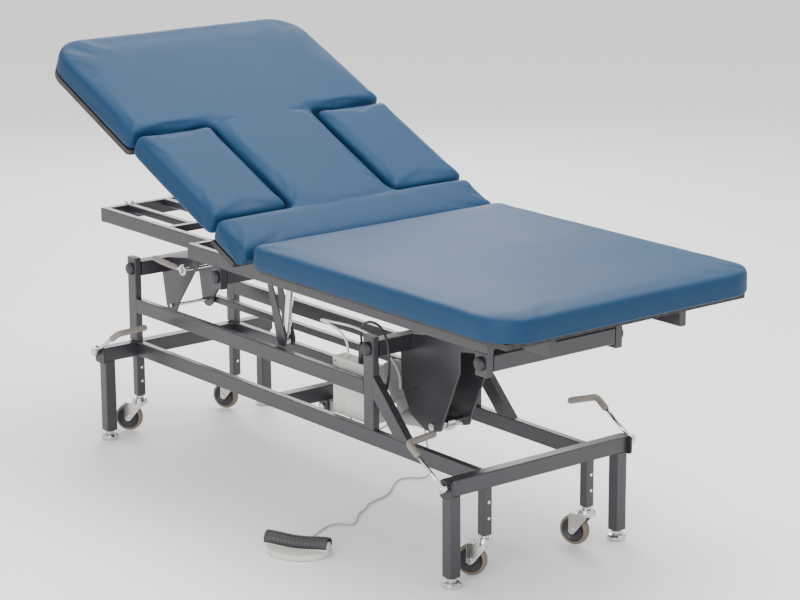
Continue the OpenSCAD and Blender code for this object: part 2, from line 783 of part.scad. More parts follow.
module back_outline(inset) {
    half = top_w / 2 - inset;
    neck = neck_half - inset;
    translate([-neck_start + inset, -half]) square([neck_start - inset, 2 * half]);
    translate([-neck_end - 1, -neck]) square([neck_end - neck_start + 2, 2 * neck]);
    pad_outline(-back_pad_l + inset, -neck_end - inset, half, 104 - inset, 12);
    translate([-neck_end - inset - 1, -neck]) square([2 * inset + 2, 2 * neck]);
    translate([-neck_start - 1, -neck]) square([2 * inset + 2, 2 * neck]);
}

module back_board() {
    color("tan") back_place() difference() {
        translate([0, 0, -nose_r - board_t]) linear_extrude(board_t) intersection() {
            back_outline(8);
            translate([-back_pad_l, -top_w / 2]) square([back_pad_l - 6, top_w]);
        }
        hinge_slots();
        slab([strut_top[0] - 30, strut_top[0] + 30], [strut_y - 10, strut_y + 10],
             [-nose_r - board_t - 1, -nose_r + 1]);
    }
}

module back_pad() {
    color([0.13, 0.29, 0.42]) back_place() difference() {
        union() {
            translate([0, 0, -nose_r]) linear_extrude(pad_t) back_outline(0);
            bar_y(0, [-top_w / 2, top_w / 2], 0, pad_t);
        }
        hinge_slots();
    }
}

module drop_pad(side) {
    gap = 1.5;
    color([0.13, 0.29, 0.42]) back_place() mirror([0, side < 0 ? 1 : 0, 0]) translate([0, 0, -nose_r])
        linear_extrude(pad_t)
            translate([-neck_end + gap, neck_half + gap])
                square([neck_end - neck_start - 2 * gap, top_w / 2 - neck_half - gap]);
    color([0.17, 0.16, 0.19]) back_place() mirror([0, side < 0 ? 1 : 0, 0]) for (x = drop_knuckles) {
        slab([x + 31, x + 61], [drop_axis[0], 210], [-nose_r - 3, -nose_r]);
        knuckle(x + 31);
    }
}

module drop_pad_near() drop_pad(-1);

module drop_pad_far() drop_pad(1);

// ---- Gas spring ----

module along_strut() {
    translate([strut_low[0], strut_y, strut_low[1]]) rotate([0, strut_lean, 0]) children();
}

module gas_spring_body() {
    color([0.2, 0.2, 0.21]) along_strut() difference() {
        union() {
            rotate([90, 0, 0]) cylinder(h = 14, d = 20, center = true);
            cylinder(h = 20, d = 12);
            translate([0, 0, 16]) cylinder(h = 190, d = 20);
        }
        rotate([90, 0, 0]) cylinder(h = 20, d = 8 + clear, center = true);
        translate([0, 0, 40]) cylinder(h = 170, d = 9);
    }
}

module gas_spring_rod() {
    color("silver") along_strut() {
        translate([0, 0, 108]) cylinder(h = strut_len - 108 - 15, d = 8);
        translate([0, 0, strut_len]) rotate([90, 0, 0]) difference() {
            cylinder(h = 14, d = 34, center = true);
            cylinder(h = 16, d = strut_eye_d, center = true);
        }
    }
}

place() lower_rails();
place() upper_base_rails();
place() head_beam();
place() foot_beam();
place() mid_beam();
place() base_posts();
place() base_braces();
place() outer_legs();
place() caster_legs();
place() levelling_feet();
place() lower_pivot_knobs();
place() lower_pivot_bushes();
place() lever_end_plates();
place() control_box();
place() control_box_lid();
place() frame_screws();
place() actuator_cables();
place() foot_switch_base();
place() foot_switch_pedal();
place() switch_lead();
place() caster_lever_head_near();
place() caster_lever_head_far();
place() caster_lever_foot_near();
place() caster_lever_foot_far();
place() caster_post_head_near();
place() caster_post_head_far();
place() caster_post_foot_near();
place() caster_post_foot_far();
place() caster_fork_head_near();
place() caster_fork_head_far();
place() caster_fork_foot_near();
place() caster_fork_foot_far();
place() caster_wheel_head_near();
place() caster_wheel_head_far();
place() caster_wheel_foot_near();
place() caster_wheel_foot_far();
place() head_crank();
place() foot_crank();
place() tie_bar();
place() tie_bar_pins();
place() actuator_bolt();
place() actuator_body();
place() actuator_motor();
place() actuator_rod();
place() upper_rails();
place() upper_crossbars();
place() head_extension();
place() upper_pivot_knobs();
place() upper_pivot_bushes();
place() foot_supports();
place() foot_board();
place() foot_pad();
place() release_lever();
place() back_frame();
place() back_board();
place() back_pad();
place() drop_pad_near();
place() drop_pad_far();
place() gas_spring_body();
place() gas_spring_rod();
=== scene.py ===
"""Height-adjustable medical exam table: finishes, upholstery, casters, levers, cables and stage."""

import json
import math

import bmesh
import bpy
from mathutils import Matrix, Vector, noise


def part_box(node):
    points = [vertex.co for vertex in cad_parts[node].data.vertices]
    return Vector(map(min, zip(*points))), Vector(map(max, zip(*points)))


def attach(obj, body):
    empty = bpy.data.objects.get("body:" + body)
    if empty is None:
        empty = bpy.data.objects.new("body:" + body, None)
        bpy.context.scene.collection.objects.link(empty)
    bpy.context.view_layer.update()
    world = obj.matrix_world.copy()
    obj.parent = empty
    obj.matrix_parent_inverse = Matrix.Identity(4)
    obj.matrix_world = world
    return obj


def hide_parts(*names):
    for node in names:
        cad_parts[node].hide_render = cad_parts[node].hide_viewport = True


bl_info = {
    "name": "Medical Exam Table",
    "version": (1, 0, 0),
    "blender": (4, 5, 0),
    "location": "3D View > Sidebar > Exam Table",
    "description": "Builds the upholstery, finishes and small parts of an exam table",
    "category": "Object",
}

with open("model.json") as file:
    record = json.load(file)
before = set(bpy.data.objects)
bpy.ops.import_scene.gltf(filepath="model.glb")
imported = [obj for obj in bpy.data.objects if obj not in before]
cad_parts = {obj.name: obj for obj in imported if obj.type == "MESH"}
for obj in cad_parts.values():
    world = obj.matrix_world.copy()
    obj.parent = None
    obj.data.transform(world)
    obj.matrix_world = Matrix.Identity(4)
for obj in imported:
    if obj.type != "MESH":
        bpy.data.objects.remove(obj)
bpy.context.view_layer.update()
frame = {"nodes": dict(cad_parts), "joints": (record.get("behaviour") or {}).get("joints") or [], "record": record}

MM = 0.001
ORIGIN = Vector((-0.080, 0.0330, 0.0))
CORNERS = [("head_near", -1, -1), ("head_far", -1, 1), ("foot_near", 1, -1), ("foot_far", 1, 1)]
JOINTS = {j["name"]: j for j in frame["joints"]}


def at(x, y, z):
    """A point given in the frame's millimetres, in metres about the shared origin."""
    return Vector((x, y, z)) * MM + ORIGIN


# ---- Sizes and colours a user would change ----


class ExamTableUpholstery(bpy.types.PropertyGroup):
    """Vinyl and foam of the pads."""

    colour: bpy.props.FloatVectorProperty(
        name="Vinyl Colour", description="Colour of the coated fabric", subtype="COLOR",
        size=3, min=0.0, max=1.0, default=(0.004, 0.034, 0.086))
    thickness: bpy.props.FloatProperty(
        name="Pad Thickness", description="Thickness of every pad", default=0.065, unit="LENGTH")
    edge: bpy.props.FloatProperty(
        name="Edge Radius", description="Softness of the pads' long edges", default=0.012, unit="LENGTH")
    voxel: bpy.props.FloatProperty(
        name="Cloth Cell", description="Cell size of the simulated cover", default=0.0075, unit="LENGTH")
    pressure: bpy.props.FloatProperty(
        name="Foam Pressure", description="How hard the foam fills its cover", default=4.0)
    swell: bpy.props.FloatProperty(
        name="Swell", description="How far the foam may push the cover out", default=0.0045, unit="LENGTH")


class ExamTableFinishes(bpy.types.PropertyGroup):
    """Paint, plating and mouldings."""

    frame_colour: bpy.props.FloatVectorProperty(
        name="Frame Colour", description="Colour of the powder coat", subtype="COLOR",
        size=3, min=0.0, max=1.0, default=(0.026, 0.023, 0.029))
    grip_colour: bpy.props.FloatVectorProperty(
        name="Grip Colour", description="Colour of the soft grips", subtype="COLOR",
        size=3, min=0.0, max=1.0, default=(0.20, 0.18, 0.155))
    moulding_colour: bpy.props.FloatVectorProperty(
        name="Moulding Colour", description="Colour of the pale mouldings", subtype="COLOR",
        size=3, min=0.0, max=1.0, default=(0.55, 0.55, 0.51))
    tread_colour: bpy.props.FloatVectorProperty(
        name="Tread Colour", description="Colour of the casters' treads", subtype="COLOR",
        size=3, min=0.0, max=1.0, default=(0.145, 0.115, 0.088))


class ExamTableStage(bpy.types.PropertyGroup):
    """Floor and lights."""

    floor_colour: bpy.props.FloatVectorProperty(
        name="Floor Colour", description="Colour of the plain floor", subtype="COLOR",
        size=3, min=0.0, max=1.0, default=(0.90, 0.90, 0.90))
    key_power: bpy.props.FloatProperty(
        name="Key Light", description="Power of the large overhead light", default=240.0, unit="POWER")
    fill_power: bpy.props.FloatProperty(
        name="Fill Light", description="Power of the light on the near side", default=150.0, unit="POWER")


# ---- Effects shared by the materials ----


def shader_group(name, inputs, outputs):
    """An empty shader group with float inputs and named outputs."""
    tree = bpy.data.node_groups.new(name, "ShaderNodeTree")
    for label, value in inputs:
        tree.interface.new_socket(name=label, in_out="INPUT", socket_type="NodeSocketFloat").default_value = value
    for label, kind in outputs:
        tree.interface.new_socket(name=label, in_out="OUTPUT", socket_type=kind)
    return tree, tree.nodes.new("NodeGroupInput"), tree.nodes.new("NodeGroupOutput")


def math_node(tree, operation, first, second, clamp=False):
    """A math node fed by sockets or numbers, and its output."""
    made = tree.nodes.new("ShaderNodeMath")
    made.operation = operation
    made.use_clamp = clamp
    for i, value in enumerate((first, second)):
        if isinstance(value, bpy.types.NodeSocket):
            tree.links.new(value, made.inputs[i])
        else:
            made.inputs[i].default_value = value
    return made.outputs[0]


def texture(tree, kind, scale, **settings):
    """A procedural texture in the piece's own coordinates."""
    where = tree.nodes.new("ShaderNodeTexCoord")
    made = tree.nodes.new(kind)
    tree.links.new(where.outputs["Object"], made.inputs["Vector"])
    if isinstance(scale, bpy.types.NodeSocket):
        tree.links.new(scale, made.inputs["Scale"])
    else:
        made.inputs["Scale"].default_value = scale
    for key, value in settings.items():
        made.inputs[key].default_value = value
    return made


def make_mottle():
    """Soft patches of slightly different tone, from 0 to 1."""
    tree, given, out = shader_group(
        "Surface Mottle", [("Scale", 6.0), ("Contrast", 0.5)], [("Mask", "NodeSocketFloat")])
    cloud = texture(tree, "ShaderNodeTexNoise", given.outputs["Scale"], Detail=5.0, Roughness=0.6)
    centred = math_node(tree, "SUBTRACT", cloud.outputs["Fac"], 0.5)
    spread = math_node(tree, "MULTIPLY", centred, given.outputs["Contrast"])
    tree.links.new(math_node(tree, "ADD", spread, 0.5, clamp=True), out.inputs["Mask"])
    return tree


def make_pebble():
    """Pebbled grain: cells for leathercloth or textured moulding."""
    tree, given, out = shader_group(
        "Pebble Grain", [("Scale", 900.0), ("Depth", 0.5)], [("Height", "NodeSocketFloat")])
    cells = texture(tree, "ShaderNodeTexVoronoi", given.outputs["Scale"])
    folds = texture(tree, "ShaderNodeTexNoise", math_node(tree, "MULTIPLY", given.outputs["Scale"], 0.16), Detail=4.0)
    both = math_node(tree, "ADD", cells.outputs["Distance"], folds.outputs["Fac"])
    tree.links.new(math_node(tree, "MULTIPLY", both, given.outputs["Depth"]), out.inputs["Height"])
    return tree


def make_dust():
    """Settled dust on faces that look up."""
    tree, given, out = shader_group("Settled Dust", [("Amount", 0.1)], [("Mask", "NodeSocketFloat")])
    facing = tree.nodes.new("ShaderNodeNewGeometry")
    split = tree.nodes.new("ShaderNodeSeparateXYZ")
    tree.links.new(facing.outputs["Normal"], split.inputs[0])
    specks = texture(tree, "ShaderNodeTexNoise", 55.0, Detail=8.0, Roughness=0.7)
    up = math_node(tree, "MAXIMUM", split.outputs["Z"], 0.0)
    lying = math_node(tree, "MULTIPLY", up, specks.outputs["Fac"])
    tree.links.new(math_node(tree, "MULTIPLY", lying, given.outputs["Amount"], clamp=True), out.inputs["Mask"])
    return tree


def make_edges():
    """Rounded edges, and a mask that is 1 where the coat is rubbed thin along them."""
    tree, given, out = shader_group(
        "Rubbed Edges", [("Radius", 0.0012), ("Wear", 1.0)],
        [("Normal", "NodeSocketVector"), ("Mask", "NodeSocketFloat")])
    rounded = tree.nodes.new("ShaderNodeBevel")
    rounded.samples = 4
    tree.links.new(given.outputs["Radius"], rounded.inputs["Radius"])
    facing = tree.nodes.new("ShaderNodeNewGeometry")
    turned = tree.nodes.new("ShaderNodeVectorMath")
    turned.operation = "DOT_PRODUCT"
    tree.links.new(rounded.outputs[0], turned.inputs[0])
    tree.links.new(facing.outputs["Normal"], turned.inputs[1])
    bend = math_node(tree, "SUBTRACT", 1.0, turned.outputs["Value"])
    patches = texture(tree, "ShaderNodeTexNoise", 40.0, Detail=6.0)
    rubbed = math_node(tree, "MULTIPLY", bend, patches.outputs["Fac"])
    tree.links.new(math_node(tree, "MULTIPLY", rubbed, given.outputs["Wear"], clamp=True), out.inputs["Mask"])
    tree.links.new(rounded.outputs[0], out.inputs["Normal"])
    return tree


def shared_group(name):
    """The named effect, built on first use."""
    makers = {"Surface Mottle": make_mottle, "Pebble Grain": make_pebble,
              "Settled Dust": make_dust, "Rubbed Edges": make_edges}
    return bpy.data.node_groups.get(name) or makers[name]()


# ---- Materials ----


def place_group(mat, name, **values):
    """An effect placed in a material with its own values."""
    made = mat.node_tree.nodes.new("ShaderNodeGroup")
    made.node_tree = shared_group(name)
    for key, value in values.items():
        made.inputs[key].default_value = value
    return made


def new_material(name, **constants):
    """A material with its constants set on the Principled shader, and that shader."""
    mat = bpy.data.materials.new(name)
    mat.use_nodes = True
    shader = mat.node_tree.nodes["Principled BSDF"]
    for key, value in constants.items():
        shader.inputs[key.replace("_", " ")].default_value = value
    return mat, shader


def ramp(mat, mask, low, high, target):
    """Runs a value from low to high with mask, into target."""
    made = mat.node_tree.nodes.new("ShaderNodeMapRange")
    made.inputs["To Min"].default_value = low
    made.inputs["To Max"].default_value = high
    mat.node_tree.links.new(mask, made.inputs["Value"])
    mat.node_tree.links.new(made.outputs[0], target)


def blend_colours(mat, mask, first, second):
    """A colour that goes from first to second with mask."""
    made = mat.node_tree.nodes.new("ShaderNodeMix")
    made.data_type = "RGBA"
    mat.node_tree.links.new(mask, made.inputs["Factor"])
    for socket, value in ((made.inputs[6], first), (made.inputs[7], second)):
        if isinstance(value, bpy.types.NodeSocket):
            mat.node_tree.links.new(value, socket)
        else:
            socket.default_value = (*value, 1.0)
    return made.outputs[2]


def bump(mat, shader, height, distance, strength=0.5, under=None):
    """Feeds a height into the shader's normal."""
    made = mat.node_tree.nodes.new("ShaderNodeBump")
    made.inputs["Distance"].default_value = distance
    made.inputs["Strength"].default_value = strength
    mat.node_tree.links.new(height, made.inputs["Height"])
    if under is not None:
        mat.node_tree.links.new(under, made.inputs["Normal"])
    mat.node_tree.links.new(made.outputs[0], shader.inputs["Normal"])


def shade(colour, factor):
    """A colour made lighter or darker."""
    return tuple(min(1.0, c * factor) for c in colour)


def coated(name, colour, grain, depth, rough, wear_colour, wear=1.0, dust=0.10, metallic=0.0, coat=0.0):
    """A painted, moulded or plated surface: tone, fine texture, rubbed edges and dust."""
    mat, shader = new_material(name, Metallic=metallic, Coat_Weight=coat, Coat_Roughness=0.25)
    tone = place_group(mat, "Surface Mottle", Scale=7.0, Contrast=1.1)
    body = blend_colours(mat, tone.outputs["Mask"], shade(colour, 0.86), shade(colour, 1.14))
    edges = place_group(mat, "Rubbed Edges", Radius=0.0013, Wear=wear)
    rubbed = blend_colours(mat, edges.outputs["Mask"], body, wear_colour)
    dusty = place_group(mat, "Settled Dust", Amount=dust)
    dressed = blend_colours(mat, dusty.outputs["Mask"], rubbed, (0.45, 0.44, 0.42))
    mat.node_tree.links.new(dressed, shader.inputs["Base Color"])
    ramp(mat, tone.outputs["Mask"], rough[0], rough[1], shader.inputs["Roughness"])
    texture_height = place_group(mat, "Pebble Grain", Scale=grain, Depth=0.5)
    bump(mat, shader, texture_height.outputs["Height"], depth, 0.5, edges.outputs["Normal"])
    return mat


def vinyl(colour):
    """Coated-fabric upholstery with a fine leather grain and a soft sheen."""
    mat, shader = new_material("Upholstery Vinyl", IOR=1.42, Specular_IOR_Level=0.28)
    tone = place_group(mat, "Surface Mottle", Scale=3.2, Contrast=1.2)
    body = blend_colours(mat, tone.outputs["Mask"], shade(colour, 0.90), shade(colour, 1.10))
    grain = place_group(mat, "Pebble Grain", Scale=780.0, Depth=0.6)
    mat.node_tree.links.new(body, shader.inputs["Base Color"])
    ramp(mat, tone.outputs["Mask"], 0.50, 0.60, shader.inputs["Roughness"])
    bump(mat, shader, grain.outputs["Height"], 0.0005, 0.45)
    return mat


def plywood():
    """Birch plywood coloured near-black as painted shade under the pads: long grain with paler growth lines."""
    mat, shader = new_material("Plywood In Painted Shade")
    rings = texture(mat.node_tree, "ShaderNodeTexWave", 9.0, Distortion=7.0, Detail=3.0)
    rings.inputs["Detail Scale"].default_value = 1.4
    rings.bands_direction = "Y"
    fibres = texture(mat.node_tree, "ShaderNodeTexNoise", 130.0, Detail=6.0)
    mixed = math_node(mat.node_tree, "MULTIPLY", rings.outputs["Fac"], fibres.outputs["Fac"])
    # Near-black colours: painted shade where the boards sit hidden under the pads.
    mat.node_tree.links.new(blend_colours(mat, mixed, (0.012, 0.011, 0.011), (0.050, 0.044, 0.040)),
                            shader.inputs["Base Color"])
    ramp(mat, fibres.outputs["Fac"], 0.50, 0.68, shader.inputs["Roughness"])
    bump(mat, shader, fibres.outputs["Fac"], 0.0004, 0.4)
    return mat


def material(name):
    """The named finish, built on first use."""
    found = bpy.data.materials.get(name)
    if found:
        return found
    trim = bpy.context.scene.exam_table_finishes
    cloth = bpy.context.scene.exam_table_upholstery
    bright = (0.62, 0.61, 0.59)
    makers = {
        "Powder Coat": lambda n: coated(n, trim.frame_colour[:], 650.0, 0.00035, (0.30, 0.42), (0.17, 0.165, 0.18),
                                        wear=2.2, dust=0.07, coat=0.15),
        "Zinc Plate": lambda n: coated(n, bright, 1400.0, 0.00015, (0.16, 0.30), (0.75, 0.74, 0.72),
                                       dust=0.05, metallic=1.0),
        "Chrome Plate": lambda n: coated(n, (0.70, 0.70, 0.71), 2200.0, 0.00006, (0.07, 0.15), (0.8, 0.8, 0.8),
                                         dust=0.03, metallic=1.0),
        "Motor Paint": lambda n: coated(n, (0.34, 0.345, 0.36), 900.0, 0.0002, (0.32, 0.46), (0.5, 0.5, 0.5)),
        "Black Moulding": lambda n: coated(n, (0.018, 0.018, 0.021), 1100.0, 0.0003, (0.36, 0.50),
                                           (0.07, 0.07, 0.075), dust=0.04),
        "Natural Nylon": lambda n: coated(n, (0.74, 0.72, 0.65), 700.0, 0.0001, (0.34, 0.45), (0.8, 0.78, 0.72)),
        "Pale Moulding": lambda n: coated(n, trim.moulding_colour[:], 1200.0, 0.00022, (0.40, 0.52),
                                          (0.68, 0.68, 0.64)),
        "Cable Jacket": lambda n: coated(n, (0.36, 0.36, 0.35), 1500.0, 0.0001, (0.42, 0.55), (0.42, 0.42, 0.4),
                                         dust=0.03),
        "White Cable": lambda n: coated(n, (0.70, 0.70, 0.66), 1500.0, 0.0001, (0.38, 0.50), (0.7, 0.7, 0.66)),
        "Soft Grip": lambda n: coated(n, trim.grip_colour[:], 1000.0, 0.0003, (0.50, 0.64), (0.26, 0.24, 0.21),
                                      dust=0.06),
        "Caster Tread": lambda n: coated(n, trim.tread_colour[:], 800.0, 0.0004, (0.52, 0.68),
                                         (0.22, 0.19, 0.16), dust=0.08),
        "Upholstery Vinyl": lambda n: vinyl(cloth.colour[:]),
        "Plywood In Painted Shade": lambda n: plywood(),
    }
    return makers[name](name)


# ---- Making pieces ----


def finish_piece(obj, body, mat, slot, *nodes):
    """Gives a piece its finish, its body and the nodes that it stands for; the slot argument is not used."""
    obj.data.materials.clear()
    obj.data.materials.append(material(mat))
    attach(obj, body)
    if nodes:
        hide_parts(*nodes)
    return obj


def object_from(name, bm, smooth=True):
    """A new object from a bmesh, with outward faces."""
    bmesh.ops.recalc_face_normals(bm, faces=bm.faces)
    mesh = bpy.data.meshes.new(name)
    bm.to_mesh(mesh)
    bm.free()
    for face in mesh.polygons:
        face.use_smooth = smooth
    obj = bpy.data.objects.new(name, mesh)
    bpy.context.scene.collection.objects.link(obj)
    return obj


def smooth_path(points, steps):
    """A curve through every point, with the given number of steps between two points."""
    points = [Vector(p) for p in points]
    last = len(points) - 1
    made = []
    for i in range(last):
        a, b, c, d = (points[max(i - 1, 0)], points[i], points[i + 1], points[min(i + 2, last)])
        for k in range(steps):
            t = k / steps
            made.append(0.5 * (2 * b + (c - a) * t + (2 * a - 5 * b + 4 * c - d) * t ** 2
                               + (3 * b - a - 3 * c + d) * t ** 3))
    return made + [points[last]]


def add_tube(bm, path, radii, sides=24):
    """Adds a closed round tube along path; radii is one radius or one per point."""
    if not isinstance(radii, (list, tuple)):
        radii = [radii] * len(path)
    tangents = [(path[min(i + 1, len(path) - 1)] - path[max(i - 1, 0)]).normalized() for i in range(len(path))]
    side = tangents[0].orthogonal().normalized()
    rings = []
    for point, radius, tangent in zip(path, radii, tangents):
        side = (side - tangent * side.dot(tangent)).normalized()
        other = tangent.cross(side)
        rings.append([bm.verts.new(point + radius * (side * math.cos(a) + other * math.sin(a)))
                      for a in (math.tau * k / sides for k in range(sides))])
    for first, second in zip(rings, rings[1:]):
        for k in range(sides):
            bm.faces.new((first[k], first[(k + 1) % sides], second[(k + 1) % sides], second[k]))
    bm.faces.new(reversed(rings[0]))
    bm.faces.new(rings[-1])


def add_rounded_tube(bm, path, radius, sides=24, cap_steps=5):
    """Adds a tube whose two ends are domed."""
    start, end = (path[0] - path[1]).normalized(), (path[-1] - path[-2]).normalized()
    angles = [math.pi / 2 * k / cap_steps for k in range(cap_steps, 0, -1)]
    full = [path[0] + start * radius * math.sin(a) for a in angles] + list(path)
    full += [path[-1] + end * radius * math.sin(a) for a in reversed(angles)]
    ends = [radius * max(math.cos(a), 0.06) for a in angles]
    add_tube(bm, full, ends + [radius] * len(path) + list(reversed(ends)), sides)


def add_lathe(bm, centre, axis, profile, sides=64):
    """Adds a ring turned about axis; profile is a closed line of (along, radius)."""
    axis = Vector(axis).normalized()
    side = axis.orthogonal().normalized()
    other = axis.cross(side)
    rings = []
    for along, radius in profile:
        rings.append([bm.verts.new(centre + axis * along + radius * (side * math.cos(a) + other * math.sin(a)))
                      for a in (math.tau * k / sides for k in range(sides))])
    for first, second in zip(rings, rings[1:] + rings[:1]):
        for k in range(sides):
            bm.faces.new((first[k], first[(k + 1) % sides], second[(k + 1) % sides], second[k]))


def arc(cx, cy, radius, start, end, steps=10):
    """Points on an arc, with angles in degrees."""
    return [(cx + radius * math.cos(math.radians(start + (end - start) * k / steps)),
             cy + radius * math.sin(math.radians(start + (end - start) * k / steps))) for k in range(steps + 1)]


def add_prism(bm, outline, low, high, soft=0.0, segments=4):
    """Adds a plate of the given outline, with its top and bottom edges rounded by soft."""
    base = bm.faces.new([bm.verts.new((x, y, low)) for x, y in outline])
    raised = bmesh.ops.extrude_face_region(bm, geom=[base])
    top = [v for v in raised["geom"] if isinstance(v, bmesh.types.BMVert)]
    bmesh.ops.translate(bm, verts=top, vec=(0, 0, high - low))
    bm.normal_update()
    if soft:
        flat = [e for f in bm.faces if abs(f.normal.z) > 0.99 for e in f.edges]
        bmesh.ops.bevel(bm, geom=list(set(flat)), offset=soft, segments=segments, profile=0.5, affect="EDGES")


# ---- Upholstery ----


def remeshed(obj, cell):
    """Evens out a mesh into small cells and removes its stair-steps."""
    tool = obj.modifiers.new("Cells", "REMESH")
    tool.mode = "VOXEL"
    tool.voxel_size = cell
    shown = obj.evaluated_get(bpy.context.evaluated_depsgraph_get())
    mesh = bpy.data.meshes.new_from_object(shown)
    obj.modifiers.clear()
    obj.data = mesh
    bm = bmesh.new()
    bm.from_mesh(mesh)
    for _ in range(3):
        bmesh.ops.smooth_vert(bm, verts=bm.verts, factor=0.5, use_axis_x=True, use_axis_y=True, use_axis_z=True)
    bm.to_mesh(mesh)
    bm.free()


def inflate(obj, cloth, floor):
    """Fills the cover with foam pressure, holding what lies on the board."""
    scene = bpy.context.scene
    rest = [v.co.copy() for v in obj.data.vertices]
    held = obj.vertex_groups.new(name="held")
    held.add([i for i, co in enumerate(rest) if co.z < floor + 0.006], 1.0, "REPLACE")
    sim = obj.modifiers.new("Padding", "CLOTH")
    sim.settings.quality = 4
    sim.settings.mass = 0.3
    sim.settings.tension_stiffness = 15
    sim.settings.compression_stiffness = 15
    sim.settings.shear_stiffness = 5
    sim.settings.bending_stiffness = 0.5
    sim.settings.use_pressure = True
    sim.settings.uniform_pressure_force = cloth.pressure
    sim.settings.vertex_group_mass = "held"
    sim.settings.effector_weights.gravity = 0
    sim.collision_settings.use_collision = False
    sim.point_cache.frame_start = 1
    sim.point_cache.frame_end = 20
    for step in range(1, 21):
        scene.frame_set(step)
    shown = obj.evaluated_get(bpy.context.evaluated_depsgraph_get())
    moved = [v.co.copy() for v in shown.data.vertices]
    obj.modifiers.clear()
    scene.frame_set(1)
    for vertex, start, end in zip(obj.data.vertices, rest, moved):
        push = end - start
        vertex.co = start + push * min(1.0, cloth.swell / max(push.length, 1e-9))


def relax(obj, amount):
    """Small, slow unevenness of a stretched cover."""
    normals = [v.normal.copy() for v in obj.data.vertices]
    for vertex, normal in zip(obj.data.vertices, normals):
        vertex.co += normal * amount * noise.noise(vertex.co * 9.0)


def upholster(name, body, node, cloth, build, low, place=None):
    """A pad: its block, its simulated cover, one subdivision, its place and its finish."""
    bm = bmesh.new()
    build(bm)
    obj = object_from(name, bm)
    remeshed(obj, cloth.voxel)
    inflate(obj, cloth, low)
    relax(obj, 0.0006)
    if place is not None:
        obj.data.transform(place)
    for face in obj.data.polygons:
        face.use_smooth = True
    finer = obj.modifiers.new("Smooth Cover", "SUBSURF")
    finer.levels = 1
    finer.render_levels = 1
    finish_piece(obj, body, "Upholstery Vinyl", "vinyl", node)
    return obj


def back_outline(cloth, inset):
    """The back pad in plan, flat: a hip part, a narrow neck and a wide head part."""
    half = 0.406 - inset
    neck = 0.1625 - inset
    hip = -0.115 + inset
    brow = -0.507 - inset
    crown = -0.973 + inset
    big, small = 0.104 - inset, 0.016
    inner = 0.010 + inset
    far_side = [(0.0, half)]
    far_side += arc(hip + small, half - small, small, 90, 180, 6)
    far_side += list(reversed(arc(hip - inner, neck + inner, inner, 270, 360, 6)))
    far_side += list(reversed(arc(brow + inner, neck + inner, inner, 180, 270, 6)))
    far_side += arc(brow - small, half - small, small, 0, 90, 6)
    far_side += arc(crown + big, half - big, big, 90, 180, 14)
    return far_side + [(x, -y) for x, y in reversed(far_side)]


class EXAMTABLE_OT_pads(bpy.types.Operator):
    """Make the foot pad, the back pad and the two drop pads"""

    bl_idname = "examtable.pads"
    bl_label = "Pads"

    def execute(self, context):
        cloth = context.scene.exam_table_upholstery
        inset = cloth.swell - 0.0005
        low_corner, high_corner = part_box("foot_pad")
        centre_y = (low_corner.y + high_corner.y) / 2
        half = (high_corner.y - low_corner.y) / 2 - inset
        near_x, far_x = low_corner.x + inset, high_corner.x - inset
        head_r, foot_r = 0.040 - inset, 0.104 - inset
        plan = arc(near_x + head_r, half - head_r, head_r, 90, 180, 12)
        plan += arc(near_x + head_r, -half + head_r, head_r, 180, 270, 12)
        plan += arc(far_x - foot_r, -half + foot_r, foot_r, 270, 360, 16)
        plan += arc(far_x - foot_r, half - foot_r, foot_r, 0, 90, 16)
        plan = [(x, y + centre_y) for x, y in plan]
        upholster("foot_cushion", "upper_frame", "foot_pad", cloth,
                  lambda bm: add_prism(bm, plan, low_corner.z, high_corner.z - inset, cloth.edge), low_corner.z)

        hinge = JOINTS["back_tilt"]
        nose = cloth.thickness / 2
        tilted = Matrix.Translation(Vector(hinge["pos_m"])) @ Matrix.Rotation(math.radians(24.1), 4, "Y")

        def back_block(bm):
            add_prism(bm, back_outline(cloth, inset), -nose, nose - inset, cloth.edge)
            ends = [Vector((0, -0.406 + inset, -inset / 2)), Vector((0, 0.406 - inset, -inset / 2))]
            add_tube(bm, ends, nose - inset / 2, 48)

        upholster("back_cushion", "back_section", "back_pad", cloth, back_block, -nose, tilted)

        gap = 0.0015 + inset
        for side_name, side in (("near", -1), ("far", 1)):
            x0, x1 = -0.507 + gap, -0.115 - gap
            y0, y1 = 0.1625 + gap, 0.406 - inset
            r = 0.016
            flap = arc(x1 - r, y1 - r, r, 0, 90, 6) + arc(x0 + r, y1 - r, r, 90, 180, 6)
            flap += arc(x0 + r, y0 + r, r, 180, 270, 6) + arc(x1 - r, y0 + r, r, 270, 360, 6)
            flap = [(x, y * side) for x, y in flap]
            upholster(f"drop_cushion_{side_name}", f"drop_pad_{side_name}", f"drop_pad_{side_name}", cloth,
                      lambda bm, p=flap: add_prism(bm, p, -nose, nose - inset, cloth.edge), -nose, tilted)
        return {"FINISHED"}


# ---- Steelwork, boards and the actuator ----


class EXAMTABLE_OT_frame(bpy.types.Operator):
    """Finish the frames, pivots, boards and the lift"""

    bl_idname = "examtable.frame"
    bl_label = "Frame and Lift"

    def execute(self, context):
        finishes = {"powder_coat": "Powder Coat", "plated_steel": "Zinc Plate", "motor_housing": "Motor Paint",
                    "black_moulding": "Black Moulding", "nylon": "Natural Nylon", "grey_moulding": "Pale Moulding",
                    "cable_jacket": "Cable Jacket", "grip_rubber": "Soft Grip", "tread": "Caster Tread",
                    "vinyl": "Upholstery Vinyl", "plywood": "Plywood In Painted Shade"}
        bright = {"gas_spring_body", "gas_spring_rod", "actuator_rod"}
        for part in frame["record"]["subparts"]:
            name = part["node"]
            obj = frame["nodes"][name]
            chosen = "Chrome Plate" if name in bright else finishes[part["material_slot"]]
            obj.data.materials.clear()
            obj.data.materials.append(material(chosen))
        return {"FINISHED"}


# ---- Levers ----


